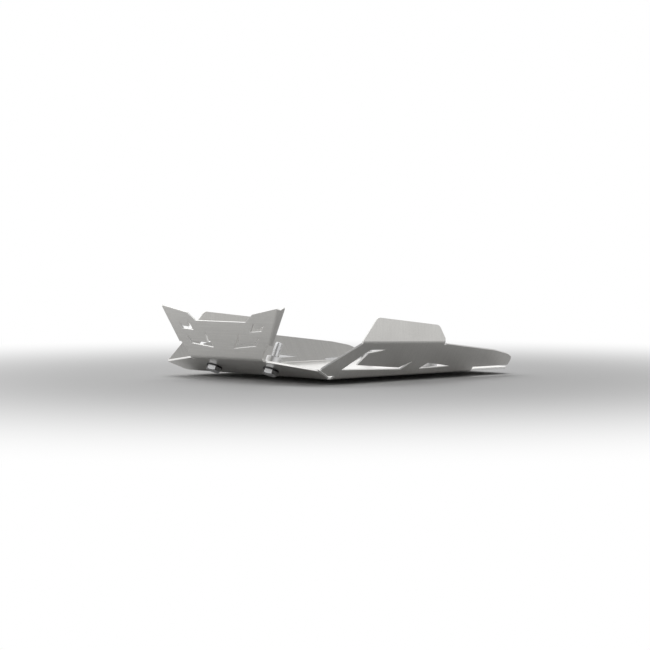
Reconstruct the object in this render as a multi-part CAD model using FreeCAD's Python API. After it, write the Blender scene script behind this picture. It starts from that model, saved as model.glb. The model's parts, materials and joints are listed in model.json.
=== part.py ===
import FreeCAD, Part
import math
import os

from FreeCAD import Vector

# Engine guard: one folded aluminium sheet, held by four bolts with washers and spacer tubes.
# Millimetres. +X is forwards, +Y is the left-hand side, +Z is up. Sizes of the folded sheet are
# taken on its outer mould lines, where the outer faces of two neighbouring flats would meet.

# Sheet and bends
SHEET = 2.0
BEND_INNER = 3.0
BEND_OUTER = BEND_INNER + SHEET
RELIEF = 1.5
SEAM_GAP = 0.5
CORNER_EDGE_SHARE = 0.45

# Belly: the flat floor of the tray
BELLY_HALF_WIDTH = 108.0
BELLY_LENGTH = 262.0
BELLY_TAIL_RADIUS = 14.0

# Front strip: slopes up ahead of the belly and carries the front bolts
STRIP_RISE_DEG = 23.4
STRIP_LENGTH = 42.0
STRIP_TIP_ALONG = 22.8
STRIP_CORNER_RADIUS = 1.5

# Front plate: stands on the strip's neck and leans forwards
PLATE_LEAN_DEG = 10.8
NECK_HALF_WIDTH = 54.5
NECK_FLARE_HALF_WIDTH = 57.5
NECK_FLARE_HEIGHT = 8.0
NOTCH_HALF_WIDTH = 37.7
NOTCH_HEIGHT = 37.3
SHOULDER_HALF_WIDTH = 49.5
SHOULDER_HEIGHT = 45.3
PLATE_CORNER_RADIUS = 2.5

# Ears: the narrow side flanges of the front plate, turned back
EAR_LOW = (67.9, 15.5)
EAR_HIGH = (87.7, 50.5)
EAR_TURN_DEG = 50.0
EAR_LOW_WIDTH = 3.2
EAR_HIGH_WIDTH = 6.4
EAR_FOOT_SLANT = 0.5
EAR_TOP_RISE = 4.5
EAR_CORNER_RADIUS = 1.2

# Chevron slots of the front plate, as (out from the middle, up from the neck)
LARGE_CHEVRON = ((25.6, 26.4), (15.2, 11.0), (48.2, 14.3), (54.8, 22.9), (46.1, 16.6), (23.6, 15.4))
SMALL_CHEVRON = ((49.4, 36.9), (42.5, 27.7), (59.2, 29.0), (64.3, 35.1), (57.6, 31.3), (49.9, 31.0))
SLOT_CORNER_RADIUS = 0.3

# Wings: rise outwards from the belly's sides, as (back from the belly's front, up the slope)
WING_RISE_DEG = 56.0
WING_FOLD_LENGTH = 195.0
WING_REAR_EDGE = ((248.0, 15.2), (239.8, 19.5), (216.6, 25.0), (181.0, 30.1), (139.2, 35.9))
WING_REAR_RADII = (6.0, 20.0, 60.0, 60.0, 1.0)
FINGER_LOWER_EDGE = 5.1
FINGER_CORNER_RADIUS = 2.0

# Flaps: the upright tops of the wings, as (back along the fold, up from the fold)
FLAP_FOLD_FRONT = (20.7, 42.5)
FLAP_FOLD_REAR = (135.5, 38.2)
FLAP_TURN_DEG = 36.0
FLAP_FRONT_TOP = (20.2, 24.0)
FLAP_REAR_TOP = (106.2, 17.2)
FLAP_REAR_LOW_HEIGHT = 4.0
FLAP_FRONT_RADIUS = 6.0
FLAP_REAR_RADIUS = 8.0

# Wing cut-outs, as (back from the belly's front, up the slope)
WING_SLOT = ((58.3, 32.6), (34.9, 33.2), (8.4, 10.8), (89.9, 7.5), (102.0, 17.3), (86.1, 9.8),
             (26.1, 15.7), (34.7, 29.2))
WING_TRIANGLE = ((115.1, 7.1), (124.6, 13.7), (160.9, 8.0))

# Mounting bolts, washers and spacer tubes
THREAD_DIAMETER = 8.0
THREAD_LENGTH = 15.4
SHANK_DIAMETER = 7.1
BOLT_TIP_CHAMFER = 0.8
HEAD_ACROSS_FLATS = 13.0
HEAD_HEIGHT = 4.5
HEAD_CHAMFER_DEG = 30.0
WASHER_DIAMETER = 16.0
WASHER_THICKNESS = 1.0
SPACER_DIAMETER = 16.0
SPACER_LENGTH = 10.0
RING_CLEARANCE = 0.2
SHEET_HOLE_CLEARANCE = 0.5
FRONT_BOLT_HALF_PITCH = 42.5
FRONT_BOLT_ALONG = 18.5
REAR_BOLT_HALF_PITCH = 45.0
REAR_BOLT_BACK = 200.0


def setback(turn):
    """Distance from the mould line to where a bend of this many degrees starts."""
    return BEND_OUTER * math.tan(math.radians(turn) / 2)


def rounded_edges(points, radii):
    """Lines and tangent arcs round a closed outline, each corner with its own radius."""
    count = len(points)
    starts = []
    ends = []
    middles = []
    for index, corner in enumerate(points):
        back = points[index - 1] - corner
        ahead = points[(index + 1) % count] - corner
        half = back.getAngle(ahead) / 2
        room = CORNER_EDGE_SHARE * min(back.Length, ahead.Length) * math.tan(half)
        radius = min(radii[index], room)
        cut = radius / math.tan(half)
        bisector = (back / back.Length + ahead / ahead.Length).normalize()
        starts.append(corner + back / back.Length * cut)
        ends.append(corner + ahead / ahead.Length * cut)
        middles.append(corner + bisector * (radius / math.sin(half) - radius))
    edges = []
    for index in range(count):
        following = (index + 1) % count
        if radii[index] > 0:
            edges.append(Part.Arc(starts[index], middles[index], ends[index]).toShape())
        edges.append(Part.LineSegment(ends[index], starts[following]).toShape())
    return edges


class Flat:
    """One flat of the sheet: a point on its mould line and three axes on its outer face."""

    def __init__(self, origin, along, across, inward, turn=0.0):
        self.origin = origin
        self.along = along
        self.across = across
        self.inward = inward
        self.turn = turn
        self.start = setback(turn)

    def point(self, u, v, depth=0.0):
        """Place of a point of the flat, with depth measured inwards from its outer face."""
        return self.origin + self.along * u + self.across * v + self.inward * depth

    def slab(self, outline, radii, low=0.0, high=SHEET):
        """Sheet metal inside an outline, with cut edges square to the sheet."""
        corners = [self.point(u, v, low) for u, v in outline]
        wire = Part.Wire(rounded_edges(corners, radii))
        return Part.Face(wire).extrude(self.inward * (high - low))

    def opening(self, outline, radius):
        """Cutter that goes right through the sheet inside an outline."""
        return self.slab(outline, [radius] * len(outline), -SHEET, 2 * SHEET)

    def fold(self, at, heading, side, turn):
        """Flat beyond a bend whose mould line passes through a point, turned inwards.

        The new flat's first axis runs along the heading, and it lies to the heading's left where
        side is 1 and to its right where side is -1.
        """
        length = math.hypot(*heading)
        run = (heading[0] / length, heading[1] / length)
        along = self.along * run[0] + self.across * run[1]
        out = (self.along * -run[1] + self.across * run[0]) * side
        cos_turn = math.cos(math.radians(turn))
        sin_turn = math.sin(math.radians(turn))
        across = out * cos_turn + self.inward * sin_turn
        inward = self.inward * cos_turn - out * sin_turn
        return Flat(self.point(*at), along, across, inward, turn)

    def bend(self, low, high):
        """Rounded sheet that joins this flat to the one it was folded from."""
        axis = self.point(low, self.start, BEND_OUTER)
        half = math.radians(self.turn) / 2
        full = math.radians(self.turn)

        def rim(radius, angle):
            return axis - (self.inward * math.cos(angle) + self.across * math.sin(angle)) * radius

        outer = Part.Arc(rim(BEND_OUTER, full), rim(BEND_OUTER, half), rim(BEND_OUTER, 0)).toShape()
        inner = Part.Arc(rim(BEND_INNER, full), rim(BEND_INNER, half), rim(BEND_INNER, 0)).toShape()
        near = Part.LineSegment(rim(BEND_OUTER, 0), rim(BEND_INNER, 0)).toShape()
        far = Part.LineSegment(rim(BEND_INNER, full), rim(BEND_OUTER, full)).toShape()
        section = Part.Face(Part.Wire(Part.__sortEdges__([outer, near, inner, far])))
        return section.extrude(self.along * (high - low))


def both_sides(shape):
    """A left-hand shape and its mirror image on the right."""
    return [shape, shape.mirror(Vector(0, 0, 0), Vector(0, 1, 0))]


def mirrored_outline(half):
    """Closed outline from its right-hand half, given from the bottom to the top."""
    return list(half) + [(-u, v) for u, v in reversed(half)]


belly = Flat(Vector(0, 0, 0), Vector(1, 0, 0), Vector(0, 1, 0), Vector(0, 0, 1))
strip = belly.fold((0, 0), (0, 1), -1, STRIP_RISE_DEG)
plate = strip.fold((0, STRIP_LENGTH), (1, 0), 1, 90 - PLATE_LEAN_DEG - STRIP_RISE_DEG)
ear = plate.fold(EAR_LOW, (EAR_HIGH[0] - EAR_LOW[0], EAR_HIGH[1] - EAR_LOW[1]), -1, EAR_TURN_DEG)
wing = belly.fold((0, BELLY_HALF_WIDTH), (-1, 0), -1, WING_RISE_DEG)
flap_heading = (FLAP_FOLD_REAR[0] - FLAP_FOLD_FRONT[0], FLAP_FOLD_REAR[1] - FLAP_FOLD_FRONT[1])
flap = wing.fold(FLAP_FOLD_FRONT, flap_heading, 1, FLAP_TURN_DEG)

belly_side = BELLY_HALF_WIDTH - wing.start
strip_bend_half = belly_side - RELIEF
wing_bend_front = strip.start + RELIEF
strip_tip_rise = STRIP_TIP_ALONG * math.sin(math.radians(STRIP_RISE_DEG))
wing_tip_up = strip_tip_rise / math.sin(math.radians(WING_RISE_DEG))
wing_tip = (-STRIP_TIP_ALONG * math.cos(math.radians(STRIP_RISE_DEG)), wing_tip_up)
strip_tip_half = BELLY_HALF_WIDTH + wing_tip_up * math.cos(math.radians(WING_RISE_DEG))
mitre_deg = math.degrees(strip.inward.getAngle(wing.inward))
seam_setback = SHEET * math.tan(math.radians(mitre_deg) / 2) + SEAM_GAP / 2


def make_belly():
    """Floor of the tray: straight sides, and a tail with rounded corners behind the wings."""
    half = [
        (-BELLY_LENGTH, belly_side - RELIEF),
        (-WING_FOLD_LENGTH - RELIEF, belly_side - RELIEF),
        (-WING_FOLD_LENGTH, belly_side),
        (-wing_bend_front, belly_side),
        (-strip.start, strip_bend_half),
    ]
    outline = half + [(x, -y) for x, y in reversed(half)]
    radii = [BELLY_TAIL_RADIUS, 0, 0, 0, 0, 0, 0, 0, 0, BELLY_TAIL_RADIUS]
    return belly.slab(outline, radii)


def make_strip():
    """Sloping front strip, with swept free edges and a relief slot at each end of the neck."""
    seam_foot = strip.start + RELIEF
    seam_lean = (strip_tip_half - BELLY_HALF_WIDTH) / STRIP_TIP_ALONG
    neck_start = STRIP_LENGTH - plate.start
    half = [
        (strip_bend_half, strip.start),
        (BELLY_HALF_WIDTH + seam_lean * seam_foot - seam_setback, seam_foot),
        (strip_tip_half - seam_setback, STRIP_TIP_ALONG),
        (NECK_HALF_WIDTH + RELIEF, neck_start),
        (NECK_HALF_WIDTH + RELIEF, neck_start - 2 * RELIEF),
        (NECK_HALF_WIDTH, neck_start - 2 * RELIEF),
        (NECK_HALF_WIDTH, neck_start),
    ]
    radii = [0, 0, STRIP_CORNER_RADIUS, STRIP_CORNER_RADIUS, 0, 0, 0]
    return strip.slab(mirrored_outline(half), radii + radii[::-1])


def make_plate():
    """Front plate: a narrow neck, raised ears and a notch in its top edge."""
    inset = ear.along.cross(plate.inward) * ear.start
    inset_u = abs(inset.dot(plate.along))
    inset_v = abs(inset.dot(plate.across))
    half = [
        (NECK_HALF_WIDTH, plate.start),
        (NECK_FLARE_HALF_WIDTH, NECK_FLARE_HEIGHT),
        (EAR_LOW[0] - inset_u, EAR_LOW[1] + inset_v),
        (EAR_HIGH[0] - inset_u, EAR_HIGH[1] + inset_v),
        (SHOULDER_HALF_WIDTH, SHOULDER_HEIGHT),
        (NOTCH_HALF_WIDTH, NOTCH_HEIGHT),
    ]
    radii = [0, PLATE_CORNER_RADIUS, 0, 0, PLATE_CORNER_RADIUS, PLATE_CORNER_RADIUS]
    body = plate.slab(mirrored_outline(half), radii + radii[::-1])
    for chevron in (LARGE_CHEVRON, SMALL_CHEVRON):
        body = body.cut(both_sides(plate.opening(chevron, SLOT_CORNER_RADIUS)))
    return body


def make_ear():
    """Narrow flange along the outer edge of the front plate, with its bend."""
    length = math.hypot(EAR_HIGH[0] - EAR_LOW[0], EAR_HIGH[1] - EAR_LOW[1])
    outline = [
        (0, ear.start),
        (EAR_FOOT_SLANT, EAR_LOW_WIDTH),
        (length + EAR_TOP_RISE, EAR_HIGH_WIDTH),
        (length, ear.start),
    ]
    flange = ear.slab(outline, [0, EAR_CORNER_RADIUS, EAR_CORNER_RADIUS, 0])
    return [flange, ear.bend(0, length)]


def make_wing():
    """Sloping side wall: a swept front, a fold for the flap, and a finger towards the rear."""
    seam_angle = math.atan2(wing_tip[1], -wing_tip[0])
    lead = (FLAP_FOLD_FRONT[0] - wing_tip[0], FLAP_FOLD_FRONT[1] - wing_tip[1])
    lead_angle = math.atan2(lead[1], lead[0])
    trim = seam_setback / math.sin(seam_angle + lead_angle)
    tip = (wing_tip[0] + trim * math.cos(lead_angle), wing_tip[1] + trim * math.sin(lead_angle))
    foot_height = wing.start + RELIEF
    foot = (tip[0] + (tip[1] - foot_height) / math.tan(seam_angle), foot_height)
    flap_length = math.hypot(*flap_heading)
    inset = (flap_heading[1] / flap_length * flap.start, -flap_heading[0] / flap_length * flap.start)
    flap_front = (FLAP_FOLD_FRONT[0] + inset[0], FLAP_FOLD_FRONT[1] + inset[1])
    flap_rear = (FLAP_FOLD_REAR[0] + inset[0], FLAP_FOLD_REAR[1] + inset[1])
    outline = [
        (wing_bend_front, wing.start),
        (WING_FOLD_LENGTH, wing.start),
        (WING_FOLD_LENGTH, FINGER_LOWER_EDGE),
        (WING_REAR_EDGE[0][0], FINGER_LOWER_EDGE),
        *WING_REAR_EDGE,
        (flap_rear[0] + RELIEF, flap_rear[1] - RELIEF),
        (flap_rear[0], flap_rear[1] - RELIEF),
        flap_rear,
        flap_front,
        tip,
        foot,
        (wing_bend_front, foot_height),
    ]
    radii = [0, 0, 0, FINGER_CORNER_RADIUS, *WING_REAR_RADII, 0, 0, 0, 0, STRIP_CORNER_RADIUS, 0, 0]
    body = wing.slab(outline, radii)
    body = body.cut([wing.opening(shape, SLOT_CORNER_RADIUS) for shape in (WING_SLOT, WING_TRIANGLE)])
    return [body, wing.bend(wing_bend_front, WING_FOLD_LENGTH)]


def make_flap():
    """Upright top of a wing, with its bend and two rounded upper corners."""
    length = math.hypot(*flap_heading)
    outline = [
        (0, flap.start),
        FLAP_FRONT_TOP,
        FLAP_REAR_TOP,
        (length, FLAP_REAR_LOW_HEIGHT),
        (length, flap.start),
    ]
    upright = flap.slab(outline, [0, FLAP_FRONT_RADIUS, FLAP_REAR_RADIUS, 0, 0])
    return [upright, flap.bend(0, length)]


def ring(base, axis, outer, bore, length):
    """Round tube that stands on a point."""
    tube = Part.makeCylinder(outer / 2, length, base, axis)
    return tube.cut(Part.makeCylinder(bore / 2, length, base, axis))


def make_bolt(seat, axis):
    """Hexagon bolt: its head bears on a seat, a thinner shank goes through the stack, then the thread."""
    corner = HEAD_ACROSS_FLATS / math.sqrt(3)
    drop = (corner - HEAD_ACROSS_FLATS / 2) * math.tan(math.radians(HEAD_CHAMFER_DEG))
    grip = WASHER_THICKNESS + SHEET + SPACER_LENGTH
    run = THREAD_LENGTH - BOLT_TIP_CHAMFER
    corners = [Vector(corner * math.cos(math.radians(a)), corner * math.sin(math.radians(a)), -HEAD_HEIGHT)
               for a in range(0, 420, 60)]
    head = Part.Face(Part.makePolygon(corners)).extrude(Vector(0, 0, HEAD_HEIGHT))
    turned = Part.makePolygon([
        Vector(0, 0, -HEAD_HEIGHT),
        Vector(HEAD_ACROSS_FLATS / 2, 0, -HEAD_HEIGHT),
        Vector(corner, 0, drop - HEAD_HEIGHT),
        Vector(corner, 0, 0),
        Vector(0, 0, 0),
        Vector(0, 0, -HEAD_HEIGHT),
    ])
    head = head.common(Part.Face(turned).revolve(Vector(0, 0, 0), Vector(0, 0, 1), 360))
    shank = Part.makeCylinder(SHANK_DIAMETER / 2, grip)
    thread = Part.makeCylinder(THREAD_DIAMETER / 2, run, Vector(0, 0, grip))
    tip = Part.makeCone(THREAD_DIAMETER / 2, THREAD_DIAMETER / 2 - BOLT_TIP_CHAMFER, BOLT_TIP_CHAMFER,
                        Vector(0, 0, grip + run))
    bolt = head.fuse([shank, thread, tip]).removeSplitter()
    bolt.Placement = FreeCAD.Placement(seat, FreeCAD.Rotation(Vector(0, 0, 1), axis))
    return bolt


def make_fixing(flat, u, v):
    """Bolt, washer and spacer tube of one mounting hole, stacked on the sheet's two faces."""
    bore = THREAD_DIAMETER + 2 * RING_CLEARANCE
    axis = flat.inward
    return {
        "mounting_bolts": make_bolt(flat.point(u, v, -WASHER_THICKNESS), axis),
        "washers": ring(flat.point(u, v, -WASHER_THICKNESS), axis, WASHER_DIAMETER, bore, WASHER_THICKNESS),
        "spacers": ring(flat.point(u, v, SHEET), axis, SPACER_DIAMETER, bore, SPACER_LENGTH),
    }


def make_guard(holes):
    """The whole folded sheet, with a hole for each mounting bolt."""
    left_side = make_ear() + make_wing() + make_flap()
    pieces = [make_strip(), make_plate()]
    pieces += [strip.bend(-strip_bend_half, strip_bend_half), plate.bend(-NECK_HALF_WIDTH, NECK_HALF_WIDTH)]
    for shape in left_side:
        pieces += both_sides(shape)
    sheet = make_belly().fuse(pieces).removeSplitter()
    hole = THREAD_DIAMETER / 2 + SHEET_HOLE_CLEARANCE
    cutters = [Part.makeCylinder(hole, 3 * SHEET, flat.point(u, v, -SHEET), flat.inward)
               for flat, u, v in holes]
    return sheet.cut(cutters)


# Mounting holes, as a flat of the sheet and a place on it
HOLES = [
    (strip, FRONT_BOLT_HALF_PITCH, FRONT_BOLT_ALONG),
    (strip, -FRONT_BOLT_HALF_PITCH, FRONT_BOLT_ALONG),
    (belly, -REAR_BOLT_BACK, REAR_BOLT_HALF_PITCH),
    (belly, -REAR_BOLT_BACK, -REAR_BOLT_HALF_PITCH),
]

# Identical fasteners share a node, each one a solid of its own.
nodes = {"guard_plate": make_guard(HOLES).Solids}
for hole in HOLES:
    for kind, shape in make_fixing(*hole).items():
        nodes.setdefault(kind, []).extend(shape.Solids)

# The origin is the middle of the footprint, at the level of the lowest bolt heads.
every_solid = [solid for solids in nodes.values() for solid in solids]
box = Part.makeCompound(every_solid).optimalBoundingBox(False, False)
to_origin = Vector(-box.Center.x, -box.Center.y, -box.ZMin)

os.makedirs("parts", exist_ok=True)
for name, solids in nodes.items():
    shape = solids[0] if len(solids) == 1 else Part.makeCompound(solids)
    shape.translate(to_origin)
    shape.exportStep(f"parts/{name}.step")
    print(name, "solids", len(shape.Solids), "valid", shape.isValid(), "volume", round(shape.Volume, 1))
print("moved by", to_origin, "size", box.XLength, box.YLength, box.ZLength)
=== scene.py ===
"""Looks of a folded aluminium engine guard with its four mounting bolts, on a pale studio floor."""

import json
import logging
import math
from dataclasses import dataclass, field
from enum import Enum, IntEnum

import bmesh
import bpy
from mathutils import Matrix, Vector
from mathutils.bvhtree import BVHTree


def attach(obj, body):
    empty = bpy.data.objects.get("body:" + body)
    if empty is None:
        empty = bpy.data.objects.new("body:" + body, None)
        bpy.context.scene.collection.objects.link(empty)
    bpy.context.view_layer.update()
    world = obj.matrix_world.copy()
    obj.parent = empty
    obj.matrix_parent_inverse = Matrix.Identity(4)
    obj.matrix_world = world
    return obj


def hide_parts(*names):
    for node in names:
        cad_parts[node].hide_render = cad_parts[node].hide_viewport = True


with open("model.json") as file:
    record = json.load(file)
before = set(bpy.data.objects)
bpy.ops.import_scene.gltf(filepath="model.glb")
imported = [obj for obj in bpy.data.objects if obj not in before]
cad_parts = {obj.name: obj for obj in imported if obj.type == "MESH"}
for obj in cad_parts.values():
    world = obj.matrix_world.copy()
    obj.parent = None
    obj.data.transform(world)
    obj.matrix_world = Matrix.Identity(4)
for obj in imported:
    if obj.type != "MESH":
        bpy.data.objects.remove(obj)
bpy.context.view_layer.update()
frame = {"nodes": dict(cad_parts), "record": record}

LOG = logging.getLogger("engine_guard")
MM = 0.001
WHITE = (1.0, 1.0, 1.0, 1.0)

# Points of a solid's loose triangles that lie closer than this are one point.
MERGE_DISTANCE = 1e-6
# Faces that meet at less than this angle count as one flat face.
FLAT_DEG = 0.5
# Edges stay sharp in the shading past this angle.
SHARP_DEG = 25.0

# How slowly the streaks of a rolled sheet change along their run.
STREAK_STRETCH = 0.02
# Between these sideways parts of its normal, a face turns from flat to folded side.
SIDE_FACING = (0.3, 0.4)

Colour = tuple[float, float, float]
Point = tuple[float, float, float]
Span = tuple[float, float]


class Node(Enum):
    """Solids of the part that the looks stand for."""

    SHEET = "guard_plate"
    BOLTS = "mounting_bolts"
    WASHERS = "washers"
    SPACERS = "spacers"


class Slot(Enum):
    """Material slots of the part."""

    SHEET = "sheet_aluminium"
    FASTENER = "fastener_steel"
    WASHER = "washer_black"
    SPACER = "spacer_aluminium"


class SheetSurface(IntEnum):
    """Kinds of surface on the folded sheet, as material indices."""

    ROLLED = 0
    CUT = 1
    EDGE = 2


class Effect(Enum):
    """Shared surface effects, each a shader node group."""

    GRAIN = "satin_grain"
    BRUSHING = "rolling_streaks"
    SMUDGES = "handling_smudges"


@dataclass
class NodeBench:
    """Lays nodes into a tree and links them.

    Args:
        tree: Shader or geometry tree that receives the nodes.
    """

    tree: bpy.types.NodeTree

    def add(self, kind: str, **settings: object) -> bpy.types.Node:
        """Adds a node.

        Args:
            kind: Type name of the node.
            settings: Properties of the node, by name.

        Returns:
            The new node.
        """
        node = self.tree.nodes.new(kind)
        for name, value in settings.items():
            setattr(node, name, value)
        return node

    def link(self, source: bpy.types.NodeSocket, target: bpy.types.NodeSocket) -> None:
        """Links an output to an input."""
        self.tree.links.new(source, target)

    def math(self, operation: str, first: object, second: object = 0.0) -> bpy.types.NodeSocket:
        """Adds a step of arithmetic on two values, each a socket or a number.

        Args:
            operation: Name of the operation.
            first: First value.
            second: Second value, which some operations don't use.

        Returns:
            The result's socket.
        """
        node = self.add("ShaderNodeMath", operation=operation)
        for socket, value in zip(node.inputs, (first, second)):
            if isinstance(value, bpy.types.NodeSocket):
                self.link(value, socket)
            else:
                socket.default_value = value
        return node.outputs[0]

    def span(self, value: bpy.types.NodeSocket, source: Span, target: Span) -> bpy.types.NodeSocket:
        """Maps a value from one range to another, smoothly and held at the ends.

        Args:
            value: Socket to map.
            source: Ends of the range it comes from.
            target: Ends of the range it goes to.

        Returns:
            The result's socket.
        """
        node = self.add("ShaderNodeMapRange", interpolation_type="SMOOTHSTEP")
        self.link(value, node.inputs["Value"])
        for name, number in zip(("From Min", "From Max", "To Min", "To Max"), source + target):
            node.inputs[name].default_value = number
        return node.outputs["Result"]


@dataclass(frozen=True)
class NoisePattern:
    """Numbers of the noise behind a shared effect.

    Args:
        size: Size of the pattern in metres, unless a material sets its own.
        detail: Number of finer layers.
        roughness: Weight of the finer layers.
        levels: Noise values that become 0 and 1 in the mask.
        distortion: How far the pattern is warped.
    """

    size: float
    detail: float
    roughness: float
    levels: Span
    distortion: float = 0.0


PATTERNS = {
    Effect.GRAIN: NoisePattern(1.1 * MM, detail=3.0, roughness=0.65, levels=(0.3, 0.7)),
    Effect.BRUSHING: NoisePattern(0.9 * MM, detail=4.0, roughness=0.6, levels=(0.3, 0.72)),
    Effect.SMUDGES: NoisePattern(
        45.0 * MM, detail=5.0, roughness=0.55, levels=(0.35, 0.68), distortion=0.6
    ),
}


@dataclass
class EffectShelf:
    """Shader node groups that several finishes share, each built once.

    Args:
        groups: Groups built so far, by effect.
    """

    groups: dict[Effect, bpy.types.ShaderNodeTree] = field(default_factory=dict)

    def get(self, effect: Effect) -> bpy.types.ShaderNodeTree:
        """Looks up the group of an effect, and builds it the first time.

        Args:
            effect: Effect that is wanted.

        Returns:
            The group.
        """
        if effect not in self.groups:
            self.groups[effect] = self._make(effect)
        return self.groups[effect]

    def _make(self, effect: Effect) -> bpy.types.ShaderNodeTree:
        """Builds the group of an effect: a noise pattern turned into a mask.

        Args:
            effect: Effect that the group is for.

        Returns:
            The group.
        """
        pattern = PATTERNS[effect]
        tree = bpy.data.node_groups.new(effect.value, "ShaderNodeTree")
        tree.interface.new_socket("Place", in_out="INPUT", socket_type="NodeSocketVector")
        if effect is Effect.BRUSHING:
            tree.interface.new_socket("Facing", in_out="INPUT", socket_type="NodeSocketVector")
        size = tree.interface.new_socket("Size", in_out="INPUT", socket_type="NodeSocketFloat")
        size.default_value = pattern.size
        tree.interface.new_socket("Mask", in_out="OUTPUT", socket_type="NodeSocketFloat")

        bench = NodeBench(tree)
        given = bench.add("NodeGroupInput").outputs
        result = bench.add("NodeGroupOutput").inputs
        place = given["Place"]
        if effect is Effect.BRUSHING:
            place = self._along_streaks(bench, place, given["Facing"])
        noise = bench.add("ShaderNodeTexNoise")
        noise.inputs["Detail"].default_value = pattern.detail
        noise.inputs["Roughness"].default_value = pattern.roughness
        noise.inputs["Distortion"].default_value = pattern.distortion
        bench.link(place, noise.inputs["Vector"])
        bench.link(bench.math("DIVIDE", 1.0, given["Size"]), noise.inputs["Scale"])
        bench.link(bench.span(noise.outputs["Fac"], pattern.levels, (0.0, 1.0)), result["Mask"])
        return tree

    @staticmethod
    def _along_streaks(
        bench: NodeBench, place: bpy.types.NodeSocket, facing: bpy.types.NodeSocket
    ) -> bpy.types.NodeSocket:
        """Stretches a place from side to side, and up the sides where the sheet is folded.

        Args:
            bench: Bench of the group.
            place: Place on the surface.
            facing: Normal of the surface, or zero for a piece without folds.

        Returns:
            The stretched place.
        """
        parts = bench.add("ShaderNodeSeparateXYZ")
        bench.link(facing, parts.inputs["Vector"])
        sideways = bench.math("ABSOLUTE", parts.outputs["Y"])
        run = bench.add("ShaderNodeCombineXYZ")
        run.inputs["X"].default_value = 1.0
        run.inputs["Y"].default_value = STREAK_STRETCH
        bench.link(bench.span(sideways, SIDE_FACING, (1.0, STREAK_STRETCH)), run.inputs["Z"])
        stretch = bench.add("ShaderNodeVectorMath", operation="MULTIPLY")
        bench.link(place, stretch.inputs[0])
        bench.link(run.outputs["Vector"], stretch.inputs[1])
        return stretch.outputs["Vector"]


@dataclass(frozen=True)
class MetalFinish:
    """A metal surface with grain, streaks and smudges.

    Args:
        name: Name of the material.
        colour: Base colour.
        roughness: Roughness where clean and where smudged.
        tone: How far grain and streaks lighten and darken the colour.
        grain_size: Size of the grain in metres.
        streak_size: Width of the streaks in metres.
        relief: Height of the grain in metres.
        folded: Whether the streaks follow the folds of a sheet.
    """

    name: str
    colour: Colour
    roughness: Span
    tone: float
    grain_size: float
    streak_size: float
    relief: float
    folded: bool = False

    def material(self, shelf: EffectShelf) -> bpy.types.Material:
        """Builds the material.

        Args:
            shelf: Shared effects.

        Returns:
            The material.
        """
        material = bpy.data.materials.new(self.name)
        material.use_nodes = True
        bench = NodeBench(material.node_tree)
        metal = material.node_tree.nodes["Principled BSDF"].inputs
        metal["Metallic"].default_value = 1.0
        here = bench.add("ShaderNodeTexCoord").outputs
        grain = self._effect(bench, shelf, Effect.GRAIN, here, self.grain_size)
        streaks = self._effect(bench, shelf, Effect.BRUSHING, here, self.streak_size)
        smudges = self._effect(bench, shelf, Effect.SMUDGES, here, None)
        texture = bench.math("MULTIPLY", bench.math("ADD", grain, streaks), 0.5)
        blend = bench.add("ShaderNodeMix", data_type="RGBA")
        bench.link(texture, blend.inputs["Factor"])
        blend.inputs["A"].default_value = self._shade(1.0 - self.tone)
        blend.inputs["B"].default_value = self._shade(1.0 + self.tone)
        bench.link(blend.outputs["Result"], metal["Base Color"])
        bench.link(bench.span(smudges, (0.0, 1.0), self.roughness), metal["Roughness"])
        bump = bench.add("ShaderNodeBump")
        bump.inputs["Strength"].default_value = 1.0
        bump.inputs["Distance"].default_value = self.relief
        bench.link(texture, bump.inputs["Height"])
        bench.link(bump.outputs["Normal"], metal["Normal"])
        return material

    def _shade(self, factor: float) -> tuple[float, float, float, float]:
        """Returns the base colour, lighter or darker by a factor."""
        return (*(part * factor for part in self.colour), 1.0)

    def _effect(
        self,
        bench: NodeBench,
        shelf: EffectShelf,
        effect: Effect,
        here: bpy.types.NodeOutputs,
        size: float | None,
    ) -> bpy.types.NodeSocket:
        """Places a shared effect in the material.

        Args:
            bench: Bench of the material.
            shelf: Shared effects.
            effect: Effect to place.
            here: Coordinates that it reads.
            size: Size of its pattern in metres, or None for its own.

        Returns:
            The effect's mask.
        """
        node = bench.add("ShaderNodeGroup", node_tree=shelf.get(effect))
        bench.link(here["Object"], node.inputs["Place"])
        if self.folded and effect is Effect.BRUSHING:
            bench.link(here["Normal"], node.inputs["Facing"])
        if size is not None:
            node.inputs["Size"].default_value = size
        return node.outputs["Mask"]


ROLLED_SHEET = MetalFinish(
    name="rolled_sheet",
    colour=(0.62, 0.612, 0.592),
    roughness=(0.33, 0.38),
    tone=0.075,
    grain_size=1.2 * MM,
    streak_size=0.9 * MM,
    relief=0.008 * MM,
    folded=True,
)
# Cut faces of the sheet: painted lighter than the sheet as a highlight along the edges, with their
# own grain.
CUT_FACE_HIGHLIGHT = MetalFinish(
    name="cut_edge",
    colour=(0.72, 0.715, 0.7),
    roughness=(0.32, 0.4),
    tone=0.12,
    grain_size=0.8 * MM,
    streak_size=0.6 * MM,
    relief=0.01 * MM,
)
# Rounded corners along the cut edges: painted lighter as a highlight, and smoother than the sheet.
CORNER_HIGHLIGHT = MetalFinish(
    name="corner_painted_highlight",
    colour=(0.76, 0.755, 0.74),
    roughness=(0.26, 0.34),
    tone=0.05,
    grain_size=1.2 * MM,
    streak_size=0.9 * MM,
    relief=0.01 * MM,
)
BRIGHT_ZINC = MetalFinish(
    name="bright_zinc",
    colour=(0.7, 0.705, 0.715),
    roughness=(0.22, 0.34),
    tone=0.06,
    grain_size=0.7 * MM,
    streak_size=2.0 * MM,
    relief=0.02 * MM,
)
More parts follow.
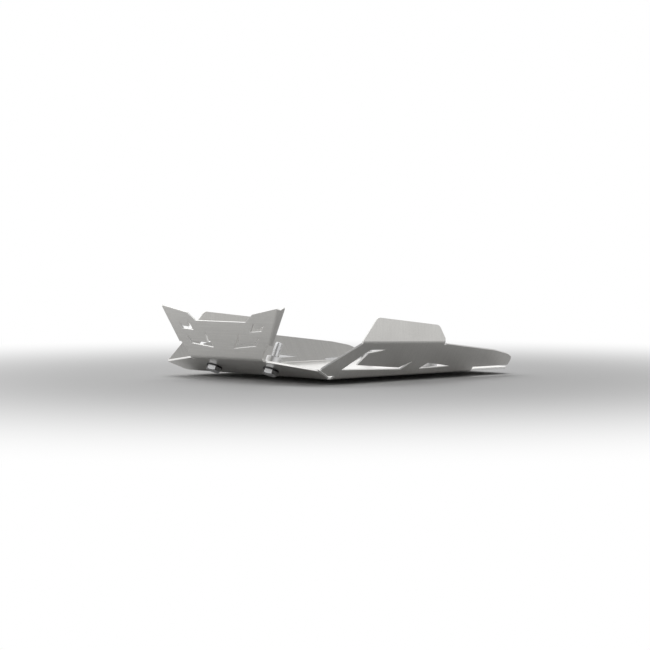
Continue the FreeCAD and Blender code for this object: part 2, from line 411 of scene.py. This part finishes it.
# Near-black washers, which make a dark ring round each bolt head.
NEAR_BLACK_WASHER = MetalFinish(
    name="near_black_washer",
    colour=(0.06, 0.06, 0.063),
    roughness=(0.38, 0.5),
    tone=0.1,
    grain_size=0.7 * MM,
    streak_size=2.0 * MM,
    relief=0.02 * MM,
)
TURNED_TUBE = MetalFinish(
    name="turned_tube",
    colour=(0.66, 0.66, 0.665),
    roughness=(0.28, 0.36),
    tone=0.08,
    grain_size=1.2 * MM,
    streak_size=0.4 * MM,
    relief=0.03 * MM,
)


def new_piece(name: str, mesh: bpy.types.Mesh) -> bpy.types.Object:
    """Puts a mesh into the scene as a piece of the object.

    Args:
        name: Name of the piece.
        mesh: Its mesh, in place.

    Returns:
        The piece.
    """
    piece = bpy.data.objects.new(name, mesh)
    bpy.context.scene.collection.objects.link(piece)
    return piece


def merged_copy(node: Node) -> bmesh.types.BMesh:
    """Copies a solid's mesh and joins its loose triangles.

    Args:
        node: Solid to copy.

    Returns:
        The joined copy.
    """
    shape = bmesh.new()
    shape.from_mesh(frame["nodes"][node.value].data)
    bmesh.ops.remove_doubles(shape, verts=shape.verts, dist=MERGE_DISTANCE)
    return shape


def join_flats(shape: bmesh.types.BMesh, **settings: object) -> None:
    """Joins the triangles of each flat face into one.

    Args:
        shape: Shape to simplify.
        settings: Further settings of the operation.
    """
    bmesh.ops.dissolve_limit(
        shape,
        angle_limit=math.radians(FLAT_DEG),
        verts=shape.verts,
        edges=shape.edges,
        **settings,
    )


def round_edges(
    shape: bmesh.types.BMesh, edges: list[bmesh.types.BMEdge], size: float, **settings: object
) -> None:
    """Rounds edges in two steps.

    Args:
        shape: Shape that holds the edges.
        edges: Edges to round.
        size: Width of the rounding on each side.
        settings: Further settings of the operation.
    """
    bmesh.ops.bevel(
        shape,
        geom=edges,
        offset=size,
        offset_type="OFFSET",
        segments=2,
        profile=0.5,
        affect="EDGES",
        **settings,
    )


def finished_mesh(name: str, shape: bmesh.types.BMesh) -> bpy.types.Mesh:
    """Turns a shape into a mesh and frees it.

    Args:
        name: Name of the mesh.
        shape: Shape to turn.

    Returns:
        The mesh.
    """
    mesh = bpy.data.meshes.new(name)
    shape.to_mesh(mesh)
    shape.free()
    return mesh


def even_shading(piece: bpy.types.Object) -> None:
    """Shades a piece smoothly up to a sharp angle, with flats that stay flat.

    Args:
        piece: Piece to shade.
    """
    piece.data.polygons.foreach_set("use_smooth", [True] * len(piece.data.polygons))
    piece.data.set_sharp_from_angle(angle=math.radians(SHARP_DEG))
    normals = piece.modifiers.new("even_shading", "WEIGHTED_NORMAL")
    normals.keep_sharp = True
    normals.weight = 100


def seat(piece: bpy.types.Object, node: Node) -> None:
    """Ties a finished piece to the part.

    Args:
        piece: Piece to tie.
        node: Solid that it stands for.
    """
    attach(piece, "root")
    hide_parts(node.value)
    LOG.info("%s: %d faces, stands for %s", piece.name, len(piece.data.polygons), node.value)


@dataclass
class FoldedSheet:
    """The guard itself: one sheet, cut and folded.

    Args:
        thickness: Thickness of the sheet.
        thickness_slack: How far a measured thickness may be off.
        edge_round: Size of the rounded corner along every cut edge.
        corner_deg: Angle past which two cut faces meet in a corner.
    """

    thickness: float = 2.0 * MM
    thickness_slack: float = 0.15 * MM
    edge_round: float = 0.2 * MM
    corner_deg: float = 35.0

    def build(self) -> bpy.types.Object:
        """Builds the sheet from its solid, with a rounded corner along each cut edge that carries
        the painted edge highlight.

        Returns:
            The piece, without materials.
        """
        shape = merged_copy(Node.SHEET)
        self._mark_cut_faces(shape)
        join_flats(shape, delimit={"MATERIAL"})
        bmesh.ops.connect_verts_concave(shape, faces=shape.faces)
        round_edges(
            shape,
            [edge for edge in shape.edges if self._is_cut_edge(edge)],
            self.edge_round,
            clamp_overlap=False,
            loop_slide=False,
            material=SheetSurface.EDGE.value,
        )
        return new_piece("folded_sheet", finished_mesh("folded_sheet", shape))

    def _mark_cut_faces(self, shape: bmesh.types.BMesh) -> None:
        """Marks the faces whose far side isn't one sheet thickness away: they are cut edges.

        Args:
            shape: Joined triangles of the sheet.
        """
        tree = BVHTree.FromBMesh(shape)
        for face in shape.faces:
            middle = face.calc_center_median()
            start = middle - face.normal * self.thickness_slack
            distance = tree.ray_cast(start, -face.normal)[3]
            depth = math.inf if distance is None else distance + self.thickness_slack
            rolled = abs(depth - self.thickness) < self.thickness_slack
            face.material_index = (SheetSurface.ROLLED if rolled else SheetSurface.CUT).value

    def _is_cut_edge(self, edge: bmesh.types.BMEdge) -> bool:
        """Tells whether an edge lies between a sheet face and a cut, or in a corner of a cut.

        Args:
            edge: Edge to look at.

        Returns:
            True for such an edge.
        """
        if len(edge.link_faces) != 2:
            return False
        first, second = (face.material_index for face in edge.link_faces)
        if first != second:
            return True
        sharp = edge.calc_face_angle(0.0) > math.radians(self.corner_deg)
        return first == SheetSurface.CUT and sharp

    def dress(self, piece: bpy.types.Object, shelf: EffectShelf) -> None:
        """Gives the sheet its finishes and shading.

        Args:
            piece: The sheet.
            shelf: Shared effects.
        """
        # Sheet faces, then cut faces and rounded corners, both painted lighter as edge highlights.
        for finish in (ROLLED_SHEET, CUT_FACE_HIGHLIGHT, CORNER_HIGHLIGHT):
            piece.data.materials.append(finish.material(shelf))
        even_shading(piece)
        seat(piece, Node.SHEET)


@dataclass
class MountingBolts:
    """Four hexagon bolts with rolled threads.

    Args:
        across_flats: Width of the head across its flats.
        head_height: Height of the head.
        chamfer_deg: Slope of the chamfer round the head.
        chamfer_start: Share of the across-flats circle where the chamfer starts.
        shank_radius: Radius of the plain shank.
        core_radius: Radius at the bottom of the thread.
        grip: Length of the plain shank.
        crest_radius: Radius at the top of the thread.
        ridge_radius: Radius of the circle round the thread's section.
        ridge_sides: Number of sides of the thread's section.
        pitch: Rise of the thread in one turn.
        turn_steps: Number of steps in one turn of the thread.
        thread_length: Length of the whole threaded end.
        tip_chamfer: Size of the chamfer at the bolt's tip.
        facets: Number of facets round the bolt.
        corner_deg: Angle past which two faces of the head meet in a corner.
        corner_round: Size of the rounding on the head's corners.
    """

    across_flats: float = 13.0 * MM
    head_height: float = 4.5 * MM
    chamfer_deg: float = 30.0
    chamfer_start: float = 0.96
    shank_radius: float = 3.55 * MM
    core_radius: float = 3.3 * MM
    grip: float = 13.0 * MM
    crest_radius: float = 4.0 * MM
    ridge_radius: float = 0.62 * MM
    ridge_sides: int = 3
    pitch: float = 1.25 * MM
    turn_steps: int = 24
    thread_length: float = 15.4 * MM
    tip_chamfer: float = 0.8 * MM
    facets: int = 48
    corner_deg: float = 40.0
    corner_round: float = 0.18 * MM

    def build(self, material: bpy.types.Material) -> bpy.types.Object:
        """Builds all four bolts, each turned along the axis of its threaded end.

        Args:
            material: Material of the bolts.

        Returns:
            The piece.
        """
        body = bpy.data.objects.new("bolt_body", self._body_mesh())
        seats = new_piece("bolt_seats", self._seat_mesh())
        tree, sockets = self._tree()
        modifier = seats.modifiers.new("bolts", "NODES")
        modifier.node_group = tree
        values = {
            "Bolt Body": body,
            "Pitch": self.pitch,
            "Turn Steps": self.turn_steps,
            "Ridge Centre": self.crest_radius - self.ridge_radius,
            "Ridge Radius": self.ridge_radius,
            "Ridge Sides": self.ridge_sides,
            "Thread Start": self.grip + self.ridge_radius,
            "Thread Length": self.thread_length - self.tip_chamfer - 2 * self.ridge_radius,
            "Material": material,
        }
        for name, value in values.items():
            modifier[sockets[name]] = value
        evaluated = seats.evaluated_get(bpy.context.evaluated_depsgraph_get())
        mesh = bpy.data.meshes.new_from_object(evaluated)
        mesh.name = "mounting_bolts_threaded"
        bpy.data.objects.remove(seats)
        bpy.data.objects.remove(body)
        return new_piece("mounting_bolts_threaded", mesh)

    def _seat_mesh(self) -> bpy.types.Mesh:
        """Makes a point below each bolt's head, with the bolt's axis as an attribute.

        Returns:
            The mesh of points.
        """
        mounts = frame["record"]["mounts"]
        mesh = bpy.data.meshes.new("bolt_seats")
        places = []
        for mount in mounts:
            half_thread = mount["dims"]["length_mm"] * MM / 2
            below = Vector(mount["axis"]) * (half_thread + self.grip)
            places.append(Vector(mount["pos_m"]) - below)
        mesh.from_pydata(places, [], [])
        axes = mesh.attributes.new("bolt_axis", "FLOAT_VECTOR", "POINT")
        for index, mount in enumerate(mounts):
            axes.data[index].vector = mount["axis"]
        return mesh

    def _body_mesh(self) -> bpy.types.Mesh:
        """Makes one bolt without its thread: a chamfered head, a shank and the thread's core.

        Returns:
            The bolt's mesh, with the underside of its head at the origin.
        """
        flat = self.across_flats / 2
        angles = [math.tau * step / self.facets for step in range(self.facets)]
        reach = [flat / math.cos((angle % (math.pi / 3)) - math.pi / 6) for angle in angles]
        slope = math.tan(math.radians(self.chamfer_deg))
        face = flat * self.chamfer_start
        tip = self.grip + self.thread_length
        neck = self.shank_radius - self.core_radius
        rings = [
            [(face, -self.head_height)] * self.facets,
            [(radius, (radius - face) * slope - self.head_height) for radius in reach],
            [(radius, 0.0) for radius in reach],
            [(self.shank_radius, 0.0)] * self.facets,
            [(self.shank_radius, self.grip)] * self.facets,
            [(self.core_radius, self.grip + neck)] * self.facets,
            [(self.core_radius, tip - self.tip_chamfer / 2)] * self.facets,
            [(self.core_radius - self.tip_chamfer / 2, tip)] * self.facets,
        ]
        shape = bmesh.new()
        loops = []
        for ring in rings:
            loops.append([
                shape.verts.new((radius * math.cos(angle), radius * math.sin(angle), height))
                for angle, (radius, height) in zip(angles, ring)
            ])
        for lower, upper in zip(loops, loops[1:]):
            for step in range(self.facets):
                after = (step + 1) % self.facets
                shape.faces.new((lower[step], lower[after], upper[after], upper[step]))
        shape.faces.new(loops[0][::-1])
        shape.faces.new(loops[-1])
        bmesh.ops.recalc_face_normals(shape, faces=shape.faces)
        corners = [edge for edge in shape.edges if self._is_head_corner(edge)]
        round_edges(shape, corners, self.corner_round, clamp_overlap=True)
        return finished_mesh("bolt_body", shape)

    def _is_head_corner(self, edge: bmesh.types.BMEdge) -> bool:
        """Tells whether an edge is a corner of the head.

        Args:
            edge: Edge to look at.

        Returns:
            True for such an edge.
        """
        sharp = edge.calc_face_angle(0.0) > math.radians(self.corner_deg)
        return sharp and min(vert.co.xy.length for vert in edge.verts) > self.crest_radius

    @staticmethod
    def _tree() -> tuple[bpy.types.GeometryNodeTree, dict[str, str]]:
        """Builds the tree that winds a thread on a bolt and sets one on each point.

        Returns:
            The tree, and the identifier of each input by its name.
        """
        tree = bpy.data.node_groups.new("threaded_bolts", "GeometryNodeTree")
        kinds = {
            "Seats": "NodeSocketGeometry",
            "Bolt Body": "NodeSocketObject",
            "Pitch": "NodeSocketFloat",
            "Turn Steps": "NodeSocketInt",
            "Ridge Centre": "NodeSocketFloat",
            "Ridge Radius": "NodeSocketFloat",
            "Ridge Sides": "NodeSocketInt",
            "Thread Start": "NodeSocketFloat",
            "Thread Length": "NodeSocketFloat",
            "Material": "NodeSocketMaterial",
        }
        sockets = {
            name: tree.interface.new_socket(name, in_out="INPUT", socket_type=kind).identifier
            for name, kind in kinds.items()
        }
        tree.interface.new_socket("Bolts", in_out="OUTPUT", socket_type="NodeSocketGeometry")
        bench = NodeBench(tree)
        given = bench.add("NodeGroupInput").outputs
        result = bench.add("NodeGroupOutput")

        spiral = bench.add("GeometryNodeCurveSpiral")
        turns = bench.math("DIVIDE", given["Thread Length"], given["Pitch"])
        bench.link(given["Turn Steps"], spiral.inputs["Resolution"])
        bench.link(turns, spiral.inputs["Rotations"])
        bench.link(given["Ridge Centre"], spiral.inputs["Start Radius"])
        bench.link(given["Ridge Centre"], spiral.inputs["End Radius"])
        bench.link(given["Thread Length"], spiral.inputs["Height"])
        upright = bench.add("GeometryNodeSetCurveNormal", mode="Z_UP")
        bench.link(spiral.outputs["Curve"], upright.inputs["Curve"])
        section = bench.add("GeometryNodeCurvePrimitiveCircle")
        bench.link(given["Ridge Sides"], section.inputs["Resolution"])
        bench.link(given["Ridge Radius"], section.inputs["Radius"])
        ridge = bench.add("GeometryNodeCurveToMesh")
        ridge.inputs["Fill Caps"].default_value = True
        bench.link(upright.outputs["Curve"], ridge.inputs["Curve"])
        bench.link(section.outputs["Curve"], ridge.inputs["Profile Curve"])
        height = bench.add("ShaderNodeCombineXYZ")
        bench.link(given["Thread Start"], height.inputs["Z"])
        lifted = bench.add("GeometryNodeTransform")
        bench.link(ridge.outputs["Mesh"], lifted.inputs["Geometry"])
        bench.link(height.outputs["Vector"], lifted.inputs["Translation"])

        body = bench.add("GeometryNodeObjectInfo")
        bench.link(given["Bolt Body"], body.inputs["Object"])
        whole = bench.add("GeometryNodeJoinGeometry")
        bench.link(body.outputs["Geometry"], whole.inputs["Geometry"])
        bench.link(lifted.outputs["Geometry"], whole.inputs["Geometry"])

        axis = bench.add("GeometryNodeInputNamedAttribute", data_type="FLOAT_VECTOR")
        axis.inputs["Name"].default_value = "bolt_axis"
        turn = bench.add("FunctionNodeAlignRotationToVector", axis="Z")
        bench.link(axis.outputs["Attribute"], turn.inputs["Vector"])
        placed = bench.add("GeometryNodeInstanceOnPoints")
        bench.link(given["Seats"], placed.inputs["Points"])
        bench.link(whole.outputs["Geometry"], placed.inputs["Instance"])
        bench.link(turn.outputs["Rotation"], placed.inputs["Rotation"])
        real = bench.add("GeometryNodeRealizeInstances")
        bench.link(placed.outputs["Instances"], real.inputs["Geometry"])
        coated = bench.add("GeometryNodeSetMaterial")
        bench.link(real.outputs["Geometry"], coated.inputs["Geometry"])
        bench.link(given["Material"], coated.inputs["Material"])
        bench.link(coated.outputs["Geometry"], result.inputs["Bolts"])
        return tree, sockets

    def dress(self, piece: bpy.types.Object) -> None:
        """Shades the bolts and ties them to the part."""
        even_shading(piece)
        seat(piece, Node.BOLTS)


@dataclass
class TurnedRings:
    """Four turned rings of one kind, washers or spacer tubes.

    Args:
        name: Name of the piece.
        node: Solid that it stands for.
        slot: Material slot; not used.
        finish: Finish of the rings.
        edge_round: Size of the rounding on the rings' corners.
        corner_deg: Angle past which two faces meet in a corner.
    """

    name: str
    node: Node
    slot: Slot
    finish: MetalFinish
    edge_round: float
    corner_deg: float = 60.0

    def build(self) -> bpy.types.Object:
        """Builds the rings from their solids, with rounded corners.

        Returns:
            The piece, without materials.
        """
        shape = merged_copy(self.node)
        join_flats(shape)
        sharp = math.radians(self.corner_deg)
        corners = [edge for edge in shape.edges if edge.calc_face_angle(0.0) > sharp]
        round_edges(shape, corners, self.edge_round, clamp_overlap=False)
        return new_piece(self.name, finished_mesh(self.name, shape))

    def dress(self, piece: bpy.types.Object, shelf: EffectShelf) -> None:
        """Gives the rings their finish and shading.

        Args:
            piece: The rings.
            shelf: Shared effects.
        """
        piece.data.materials.append(self.finish.material(shelf))
        even_shading(piece)
        seat(piece, self.node)


@dataclass(frozen=True)
class Softbox:
    """A square studio lamp aimed at the part.

    Args:
        name: Name of the lamp.
        place: Where it stands.
        size: Length of its side.
        power: Its power in watts.
    """

    name: str
    place: Point
    size: float
    power: float

    def hang(self, target: Vector) -> None:
        """Puts the lamp into the scene.

        Args:
            target: Point that the lamp faces.
        """
        lamp = bpy.data.lights.new(self.name, "AREA")
        lamp.shape = "SQUARE"
        lamp.size = self.size
        lamp.energy = self.power
        holder = bpy.data.objects.new(self.name, lamp)
        holder.location = self.place
        beam = target - Vector(self.place)
        holder.rotation_euler = beam.to_track_quat("-Z", "Y").to_euler()
        bpy.context.scene.collection.objects.link(holder)


@dataclass
class Studio:
    """Floor, lamps, white surroundings and the camera.

    Args:
        floor_colour: Colour of the floor round the part.
        floor_roughness: Roughness of the floor.
        floor_half: Half the side of the floor.
        fade: Distances from the middle between which the floor fades to white.
        fill: Strength of the even light from all round.
        zenith: Brightness of the surroundings straight above, where the horizon is white.
        dimming: Heights of a direction between which the surroundings dim to the zenith's.
        eye: Where the camera stands.
        yaw_deg: Angle of the camera's view from the part's side, in degrees.
        dip_deg: Angle of the camera's view below the horizon, in degrees.
        lens: Focal length of the lens in millimetres.
        sensor: Width of the sensor in millimetres.
        aim: Point that the lamps face.
        lamps: The lamps.
    """

    floor_colour: Colour = (0.7, 0.7, 0.7)
    floor_roughness: float = 0.9
    floor_half: float = 12.0
    fade: Span = (0.2, 0.85)
    fill: float = 0.38
    zenith: float = 0.35
    dimming: Span = (0.15, 0.9)
    eye: Point = (1.33126, 1.41352, 0.12436)
    yaw_deg: float = 43.0
    dip_deg: float = 2.15
    lens: float = 105.23
    sensor: float = 36.0
    aim: Point = (0.0, 0.0, 0.04)
    lamps: tuple[Softbox, ...] = (
        Softbox("rear_softbox", (-0.6, -1.25, 1.45), 2.6, 21.0),
        Softbox("front_softbox", (1.5, -0.7, 0.8), 1.2, 4.0),
    )

    def build(self) -> None:
        """Builds the whole studio."""
        self._lay_floor()
        self._surround()
        for lamp in self.lamps:
            lamp.hang(Vector(self.aim))
        self._set_camera()
        bpy.context.scene.view_settings.view_transform = "Standard"
        LOG.info("studio: floor, surroundings, camera and %d lamps", len(self.lamps))

    @staticmethod
    def _seen_rays(bench: NodeBench) -> bpy.types.NodeSocket:
        """Masks the rays that show the surroundings, straight or in metal.

        Args:
            bench: Bench of the material or of the world.

        Returns:
            The mask.
        """
        rays = bench.add("ShaderNodeLightPath").outputs
        straight = bench.math("MAXIMUM", rays["Is Camera Ray"], rays["Is Glossy Ray"])
        return bench.math("MAXIMUM", straight, rays["Is Transmission Ray"])

    def _lay_floor(self) -> None:
        """Lays a pale floor that fades to white round the part."""
        half = self.floor_half
        corners = [(-half, -half, 0), (half, -half, 0), (half, half, 0), (-half, half, 0)]
        mesh = bpy.data.meshes.new("studio_floor")
        mesh.from_pydata(corners, [], [(0, 1, 2, 3)])
        floor = new_piece("studio_floor", mesh)
        material = bpy.data.materials.new("pale_floor")
        material.use_nodes = True
        nodes = material.node_tree.nodes
        bench = NodeBench(material.node_tree)
        paint = nodes["Principled BSDF"]
        paint.inputs["Base Color"].default_value = (*self.floor_colour, 1.0)
        paint.inputs["Roughness"].default_value = self.floor_roughness
        paint.inputs["Specular IOR Level"].default_value = 0.0
        white = bench.add("ShaderNodeEmission")
        place = bench.add("ShaderNodeTexCoord").outputs["Object"]
        distance = bench.add("ShaderNodeVectorMath", operation="LENGTH")
        bench.link(place, distance.inputs[0])
        far = bench.span(distance.outputs["Value"], self.fade, (0.0, 1.0))
        blend = bench.add("ShaderNodeMixShader")
        bench.link(bench.math("MULTIPLY", far, self._seen_rays(bench)), blend.inputs["Fac"])
        bench.link(paint.outputs["BSDF"], blend.inputs[1])
        bench.link(white.outputs["Emission"], blend.inputs[2])
        bench.link(blend.outputs["Shader"], nodes["Material Output"].inputs["Surface"])
        mesh.materials.append(material)

    def _surround(self) -> None:
        """Sets white surroundings, dimmer above, that give only an even fill light."""
        world = bpy.data.worlds.new("white_surroundings")
        world.use_nodes = True
        nodes = world.node_tree.nodes
        bench = NodeBench(world.node_tree)
        fill = nodes["Background"]
        fill.inputs["Color"].default_value = WHITE
        fill.inputs["Strength"].default_value = self.fill
        white = bench.add("ShaderNodeBackground")
        white.inputs["Color"].default_value = WHITE
        direction = bench.add("ShaderNodeSeparateXYZ")
        generated = bench.add("ShaderNodeTexCoord").outputs["Generated"]
        bench.link(generated, direction.inputs["Vector"])
        level = bench.span(direction.outputs["Z"], self.dimming, (1.0, self.zenith))
        bench.link(level, white.inputs["Strength"])
        blend = bench.add("ShaderNodeMixShader")
        bench.link(self._seen_rays(bench), blend.inputs["Fac"])
        bench.link(fill.outputs["Background"], blend.inputs[1])
        bench.link(white.outputs["Background"], blend.inputs[2])
        bench.link(blend.outputs["Shader"], nodes["World Output"].inputs["Surface"])
        bpy.context.scene.world = world

    def _set_camera(self) -> None:
        """Stands the camera low at the front left of the part."""
        yaw = math.radians(self.yaw_deg)
        dip = math.radians(self.dip_deg)
        level = math.cos(dip)
        view = Vector((-math.sin(yaw) * level, -math.cos(yaw) * level, -math.sin(dip)))
        data = bpy.data.cameras.new("studio_camera")
        data.lens = self.lens
        data.sensor_width = self.sensor
        camera = bpy.data.objects.new("studio_camera", data)
        camera.location = self.eye
        camera.rotation_euler = view.to_track_quat("-Z", "Y").to_euler()
        bpy.context.scene.collection.objects.link(camera)
        bpy.context.scene.camera = camera


def main() -> None:
    """Builds and dresses the guard, its fixings and the studio."""
    logging.basicConfig(level=logging.INFO, format="%(name)s %(message)s")
    shelf = EffectShelf()
    sheet = FoldedSheet()
    sheet.dress(sheet.build(), shelf)
    bolts = MountingBolts()
    bolts.dress(bolts.build(BRIGHT_ZINC.material(shelf)))
    for rings in (
        TurnedRings("plain_washers", Node.WASHERS, Slot.WASHER, NEAR_BLACK_WASHER, 0.15 * MM),
        TurnedRings("spacer_tubes", Node.SPACERS, Slot.SPACER, TURNED_TUBE, 0.4 * MM),
    ):
        rings.dress(rings.build(), shelf)
    Studio().build()


if __name__ == "__main__":
    main()
